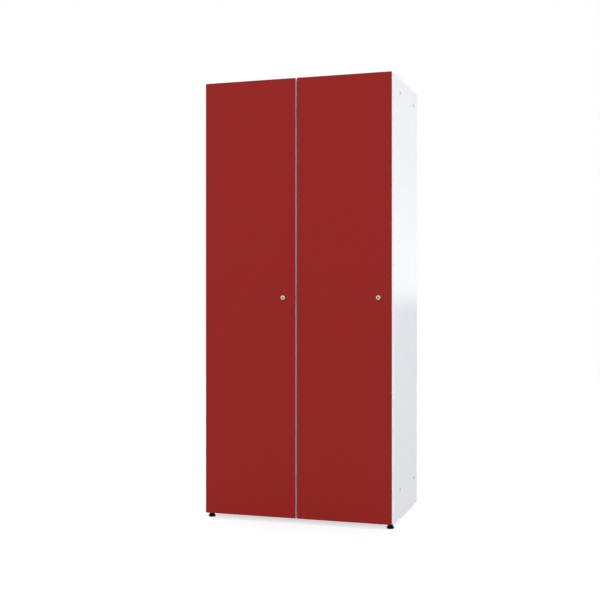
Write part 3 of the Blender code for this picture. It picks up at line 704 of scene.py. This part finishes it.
buffer_dome = rounded(
    (BUFFER_RADIUS, BUFFER_WALL), (BUFFER_RADIUS, BUFFER_HEIGHT), (0, BUFFER_HEIGHT), DOME_STEPS
)
buffer_tree = turned_tree("door_buffer", [(0, 0), (BUFFER_RADIUS, 0), *buffer_dome], BUFFER_SIDES)
buffer_places = []
for side in SIDES:
    low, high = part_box("door_face_" + side)
    for z in (low.z + BUFFER_END_DISTANCE, high.z - BUFFER_END_DISTANCE):
        buffer_places.append(((high.x - BUFFER_INSET, panel_low.y, z), (0, -1, 0)))
make_pieces("door_buffers", buffer_tree, buffer_places, black_plastic, "carcass")


# Hinges: zinc-plated arms screwed to the carcass front and rolled round riveted pins, whose brackets are
# riveted inside the door pans.

PIN_RADIUS = 0.002
PIN_HEAD_RADIUS = 0.0032
PIN_HEAD_HEIGHT = 0.0012
PIN_HEAD_DOME = 0.0008
PIN_SIDES = 24
ARM_LEAF = 0.0015
ARM_SCREW_RADIUS = 0.0032
ARM_SCREW_HEIGHT = 0.0005
ARM_SCREW_INSET = 0.0085
ARM_SCREW_RISE = 0.014
HINGE_LEVELS = ("lower", "middle", "upper")

pin_low, pin_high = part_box("hinge_pin_left_lower")
pin_half = (pin_high.z - pin_low.z) / 2
pin_end = [
    *rounded((0, 0), (PIN_HEAD_RADIUS, 0), (PIN_HEAD_RADIUS, PIN_HEAD_DOME), DOME_STEPS),
    (PIN_HEAD_RADIUS, PIN_HEAD_HEIGHT),
    (PIN_RADIUS, PIN_HEAD_HEIGHT),
]
pin_profile = [(radius, height - pin_half) for radius, height in pin_end]
pin_profile += [(radius, -height) for radius, height in reversed(pin_profile)]
pin_tree = turned_tree("hinge_pin", pin_profile, PIN_SIDES)
arm_screw = cross_screw("arm_screw", ARM_SCREW_RADIUS, ARM_SCREW_HEIGHT)
arm_screw_places = []
for side in SIDES:
    pin_nodes = [f"hinge_pin_{side}_{level}" for level in HINGE_LEVELS]
    pin_places = []
    for name in pin_nodes:
        low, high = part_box(name)
        pin_places.append(((low + high) / 2, (0, 0, 1)))
    door_body = "door_" + side
    pins = make_pieces(f"hinge_pins_{side}", pin_tree, pin_places, zinc_plate, door_body)
    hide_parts(*pin_nodes)
    for level in HINGE_LEVELS:
        arm = f"hinge_arm_{side}_{level}"
        finish_nodes(zinc_plate, [arm, f"hinge_bracket_{side}_{level}"])
        low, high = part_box(arm)
        for step in (-1, 1):
            z = (low.z + high.z) / 2 + step * ARM_SCREW_RISE
            arm_screw_places.append(((high.x - ARM_SCREW_INSET, high.y - ARM_LEAF, z), (0, -1, 0)))
make_pieces("arm_screws", arm_screw, arm_screw_places, zinc_plate, "carcass")


# Cam locks: a domed chrome head and barrel clamped through the door by a thin nut, and a satin-plated plug
# that turns in it. From just behind its face the plug is painted near black, a painted shade inside its
# keyway. A zinc-plated cam sits on the plug's square tail, held by a screw.

CHROME = (0.92, 0.92, 0.93)
SATIN = (0.58, 0.58, 0.59)
SATIN_ROUGHNESS = 0.28
KEYWAY_SHADE_COLOUR = (0.020, 0.017, 0.012)
KEYWAY_SHADE_FADE = 0.0008
SMUDGE_SCALE = 260.0
LOCK_HEAD_RADIUS = 0.0092
LOCK_HEAD_PROUD = 0.0025
LOCK_HEAD_SEAT = 0.0003
LOCK_RIM_CHAMFER = 0.0002
LOCK_DOME = 0.0015
LOCK_DOME_STEPS = 6
LOCK_DISH_RADIUS = 0.0062
LOCK_DISH_DEPTH = 0.0004
LOCK_BORE = 0.0053
LOCK_BARREL_RADIUS = 0.008
LOCK_BARREL_ROUND = 0.0004
LOCK_FLAT_HALF = 0.0068
LOCK_SIDES = 56
PLUG_RADIUS = 0.005
PLUG_TAIL = 0.006
PLUG_TAIL_CORNER = 0.0041
TAIL_CUT_MIDDLE = 0.48
PLUG_SINK = 0.0004
PLUG_ROUND = 0.0003
PLUG_SIDES = 48
KEY_SLOT_LENGTH = 0.008
KEY_SLOT_WIDTH = 0.002
KEY_SLOT_DEPTH = 0.009
CAM_SCREW_RADIUS = 0.0042
CAM_SCREW_HEIGHT = 0.0018
TURNED_RELIEF = 0.000012
CUT_LENGTH = 0.03


def turned_marks():
    """Plate over turned brass: fine rings by turning radius, and a near-black painted shade behind one
    level.
    """
    values = {
        "Roughness": 0.16,
        "Roughness Spread": 0.10,
        "Tone Spread": 0.06,
        "Ring Scale": 9000.0,
        "Shade Behind": 1.0,
    }
    tree, given = new_effect("turned_marks", values)
    radius = node(tree, "ShaderNodeAttribute", attribute_name="turned").outputs["Fac"]
    inputs = {"W": radius, "Scale": given["Ring Scale"], "Detail": 2.0}
    rings = node(tree, "ShaderNodeTexNoise", inputs, noise_dimensions="1D").outputs["Fac"]
    where = node(tree, "ShaderNodeTexCoord").outputs["Object"]
    smudge = grain(tree, where, SMUDGE_SCALE, detail=3.0)
    plated = toned(tree, given["Colour"], spread(tree, rings, 1.0, given["Tone Spread"]))
    # Painted shade: behind the given level the colour fades to near black, so the keyway looks dark
    # inside.
    level = node(tree, "ShaderNodeSeparateXYZ", {0: where}).outputs["Y"]
    depth = difference(tree, level, given["Shade Behind"])
    inputs = {"Value": depth, "From Min": 0.0, "From Max": KEYWAY_SHADE_FADE}
    shaded_keyway = node(tree, "ShaderNodeMapRange", inputs).outputs["Result"]
    inputs = {"Factor": shaded_keyway, "A": plated, "B": (*KEYWAY_SHADE_COLOUR, 1)}
    results = {
        "Colour": node(tree, "ShaderNodeMix", inputs, data_type="RGBA").outputs["Result"],
        "Roughness": spread(tree, smudge, given["Roughness"], given["Roughness Spread"]),
        "Height": rings,
    }
    node(tree, "NodeGroupOutput", results)
    return tree


turned_effect = turned_marks()
chrome = material_of(
    "chrome", turned_effect, {"Colour": (*CHROME, 1)}, TURNED_RELIEF, {"Metallic": 1.0}
)
# The plug takes the painted shade from just behind its rounded front edge, inside the keyway.
plug_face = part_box("lock_plug_left")[0].y
plug_values = {
    "Colour": (*SATIN, 1),
    "Roughness": SATIN_ROUGHNESS,
    "Shade Behind": plug_face + PLUG_ROUND,
}
plug_satin = material_of("plug_satin", turned_effect, plug_values, TURNED_RELIEF, {"Metallic": 1.0})
cam_screw = cross_screw("cam_screw", CAM_SCREW_RADIUS, CAM_SCREW_HEIGHT)
for side in SIDES:
    body_node, plug_node = "lock_body_" + side, "lock_plug_" + side
    low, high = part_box(body_node)
    tail_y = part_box(plug_node)[1].y
    seat_y = low.y + LOCK_HEAD_PROUD
    barrel_end = seat_y - high.y
    lock_x, lock_z = (low.x + high.x) / 2, (low.z + high.z) / 2
    spot = [((lock_x, seat_y, lock_z), (0, -1, 0))]
    flat_depth = LOCK_HEAD_RADIUS - LOCK_FLAT_HALF
    flat_size = (CUT_LENGTH, flat_depth, -barrel_end + 2 * LOCK_HEAD_SEAT)
    flat_y = LOCK_FLAT_HALF + flat_depth / 2
    flat_z = LOCK_HEAD_SEAT - flat_size[2] / 2
    body_profile = [
        (LOCK_BORE, barrel_end),
        (LOCK_BARREL_RADIUS - LOCK_BARREL_ROUND, barrel_end),
        (LOCK_BARREL_RADIUS, barrel_end + LOCK_BARREL_ROUND),
        (LOCK_BARREL_RADIUS, LOCK_HEAD_SEAT),
        (LOCK_HEAD_RADIUS - LOCK_RIM_CHAMFER, LOCK_HEAD_SEAT),
        (LOCK_HEAD_RADIUS, LOCK_HEAD_SEAT + LOCK_RIM_CHAMFER),
        *rounded(
            (LOCK_HEAD_RADIUS, LOCK_HEAD_PROUD - LOCK_DOME),
            (LOCK_HEAD_RADIUS, LOCK_HEAD_PROUD),
            (LOCK_DISH_RADIUS, LOCK_HEAD_PROUD),
            LOCK_DOME_STEPS,
        ),
        (LOCK_DISH_RADIUS - LOCK_DISH_DEPTH, LOCK_HEAD_PROUD - LOCK_DISH_DEPTH),
        (LOCK_BORE, LOCK_HEAD_PROUD - LOCK_DISH_DEPTH),
        (LOCK_BORE, barrel_end),
    ]
    body_cuts = [(flat_size, (0, sign * flat_y, flat_z)) for sign in (1, -1)]
    body_tree = turned_tree("lock_body", body_profile, LOCK_SIDES, body_cuts)
    body = make_pieces(f"lock_head_{side}", body_tree, spot, chrome, "door_" + side)
    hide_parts(body_node)

    plug_front = LOCK_HEAD_PROUD - PLUG_SINK
    tail_end = seat_y - tail_y
    tail_length = barrel_end - tail_end
    tail_middle = tail_end + TAIL_CUT_MIDDLE * tail_length
    plug_cuts = [((KEY_SLOT_LENGTH, KEY_SLOT_WIDTH, 2 * KEY_SLOT_DEPTH), (0, 0, plug_front))]
    for out in (-PLUG_TAIL, PLUG_TAIL):
        plug_cuts.append(((CUT_LENGTH, PLUG_TAIL, tail_length), (0, out, tail_middle)))
        plug_cuts.append(((PLUG_TAIL, CUT_LENGTH, tail_length), (out, 0, tail_middle)))
    plug_tree = turned_tree(
        "lock_plug",
        [
            (0, tail_end),
            (PLUG_TAIL_CORNER, tail_end),
            (PLUG_TAIL_CORNER, barrel_end),
            (PLUG_RADIUS, barrel_end),
            (PLUG_RADIUS, plug_front - PLUG_ROUND),
            (PLUG_RADIUS - PLUG_ROUND, plug_front),
            (0, plug_front),
        ],
        PLUG_SIDES,
        plug_cuts,
    )
    lock = "lock_" + side
    plug = make_pieces(f"lock_barrel_{side}", plug_tree, spot, plug_satin, lock)
    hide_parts(plug_node)
    finish_nodes(zinc_plate, ["lock_nut_" + side, "lock_cam_" + side])
    spot = [((lock_x, tail_y, lock_z), (0, 1, 0))]
    make_pieces(f"cam_screw_{side}", cam_screw, spot, zinc_plate, lock)


# Floor: a plain pale studio floor. What the camera sees of it is topped up to the white of the backdrop,
# so only the cabinet's soft shadow shows on it. Glossy surfaces see it as one even grey.

FLOOR_HALF = 7.0
FLOOR_TONE = 0.66
FLOOR_TOP_UP = 0.58
FLOOR_MIRRORED = 0.44

floor_mesh = bpy.data.meshes.new("studio_floor")
corners = [(-FLOOR_HALF, -FLOOR_HALF, 0), (FLOOR_HALF, -FLOOR_HALF, 0)]
corners += [(FLOOR_HALF, FLOOR_HALF, 0), (-FLOOR_HALF, FLOOR_HALF, 0)]
floor_mesh.from_pydata(corners, [], [(0, 1, 2, 3)])
floor = bpy.data.objects.new("studio_floor", floor_mesh)
bpy.context.scene.collection.objects.link(floor)
floor_paint = bpy.data.materials.new("studio_floor")
floor_paint.use_nodes = True
tree = floor_paint.node_tree
tree.nodes.clear()
matt = node(tree, "ShaderNodeBsdfDiffuse", {"Color": (*[FLOOR_TONE] * 3, 1)}).outputs[0]
rays = node(tree, "ShaderNodeLightPath").outputs
seen = product(tree, rays["Is Camera Ray"], FLOOR_TOP_UP)
glow = node(tree, "ShaderNodeEmission", {"Strength": seen}).outputs[0]
lit = node(tree, "ShaderNodeAddShader", {0: matt, 1: glow}).outputs[0]
even = node(tree, "ShaderNodeEmission", {"Strength": FLOOR_MIRRORED}).outputs[0]
shiny = larger(tree, rays["Is Glossy Ray"], rays["Is Transmission Ray"])
surface = node(tree, "ShaderNodeMixShader", {0: shiny, 1: lit, 2: even}).outputs[0]
node(tree, "ShaderNodeOutputMaterial", {"Surface": surface})
floor_mesh.materials.append(floor_paint)


# Studio: a white backdrop all round. Glossy surfaces see it brightest at the horizon behind the cabinet
# and overhead behind the camera. Three soft lights stand far off: a key beside the camera, a broad fill at
# the right, and one behind at the left that lights the back and the top.

AMBIENT = 0.43
REAR_TONES = (
    (-0.004, FLOOR_MIRRORED),
    (0.004, 1.0),
    (0.05, 0.98),
    (0.08, 0.92),
    (0.12, 0.82),
    (0.21, 0.69),
)
FRONT_TONES = ((-0.3, 0.46), (0.0, 0.64), (0.2, 0.84), (0.45, 1.0))
FRONT_EDGE, REAR_EDGE = -0.50, 0.20
LIGHTS = (
    ("key_light", (0.36, -0.90, 0.22), 1.30, 25),
    ("fill_light", (0.92, -0.25, 0.30), 1.68, 80),
    ("rear_light", (-0.38, 0.66, 0.65), 1.50, 100),
)

world = bpy.data.worlds.new("studio")
bpy.context.scene.world = world
world.use_nodes = True
world.cycles.sampling_method = "NONE"
tree = world.node_tree
tree.nodes.clear()
heading = node(tree, "ShaderNodeTexCoord").outputs["Generated"]
parts = node(tree, "ShaderNodeSeparateXYZ", {0: heading}).outputs
inputs = {"Value": parts["Z"], "From Min": -1.0, "From Max": 1.0}
level = node(tree, "ShaderNodeMapRange", inputs).outputs["Result"]


def tone_by_level(tones):
    """The backdrop's brightness from straight down, -1, to straight up, 1."""
    ramp = node(tree, "ShaderNodeValToRGB", {"Fac": level})
    stops = ramp.color_ramp.elements
    while len(stops) < len(tones):
        stops.new(0.5)
    for stop, (height, tone) in zip(stops, tones):
        stop.position = (height + 1) / 2
        stop.color = (*[tone] * 3, 1)
    return ramp.outputs["Color"]


front, rear = tone_by_level(FRONT_TONES), tone_by_level(REAR_TONES)
inputs = {"Value": parts["Y"], "From Min": FRONT_EDGE, "From Max": REAR_EDGE}
turn = node(tree, "ShaderNodeMapRange", inputs, interpolation_type="SMOOTHSTEP").outputs["Result"]
mirrored = node(tree, "ShaderNodeMix", {"Factor": turn, "A": front, "B": rear}).outputs["Result"]
rays = node(tree, "ShaderNodeLightPath").outputs
shiny = larger(tree, rays["Is Glossy Ray"], rays["Is Transmission Ray"])
light = node(tree, "ShaderNodeMix", {"Factor": shiny, "A": AMBIENT, "B": mirrored}).outputs["Result"]
inputs = {"Factor": rays["Is Camera Ray"], "A": light, "B": 1.0}
light = node(tree, "ShaderNodeMix", inputs).outputs["Result"]
backdrop = node(tree, "ShaderNodeBackground", {"Color": (1, 1, 1, 1), "Strength": light}).outputs[0]
node(tree, "ShaderNodeOutputWorld", {"Surface": backdrop})

for name, toward, strength, breadth in LIGHTS:
    lamp = bpy.data.lights.new(name, "SUN")
    lamp.energy = strength
    lamp.angle = math.radians(breadth)
    holder = bpy.data.objects.new(name, lamp)
    holder.rotation_euler = Vector(toward).to_track_quat("Z", "Y").to_euler()
    holder.visible_glossy = False
    bpy.context.scene.collection.objects.link(holder)


# Camera: at mid-height and a little to the right, where the photograph was taken. Its axis is level, so
# that upright edges stay upright.

CAMERA_PLACE = (1.2646, -4.1991, 0.9122)
CAMERA_HEADING = 0.3063
CAMERA_LENS = 61.045
CAMERA_SENSOR = 36.0

lens = bpy.data.cameras.new("camera")
lens.lens = CAMERA_LENS
lens.sensor_width = CAMERA_SENSOR
camera = bpy.data.objects.new("camera", lens)
camera.location = CAMERA_PLACE
camera.rotation_euler = (math.pi / 2, 0, CAMERA_HEADING)
bpy.context.scene.collection.objects.link(camera)
bpy.context.scene.camera = camera
bpy.context.scene.view_settings.view_transform = "Standard"
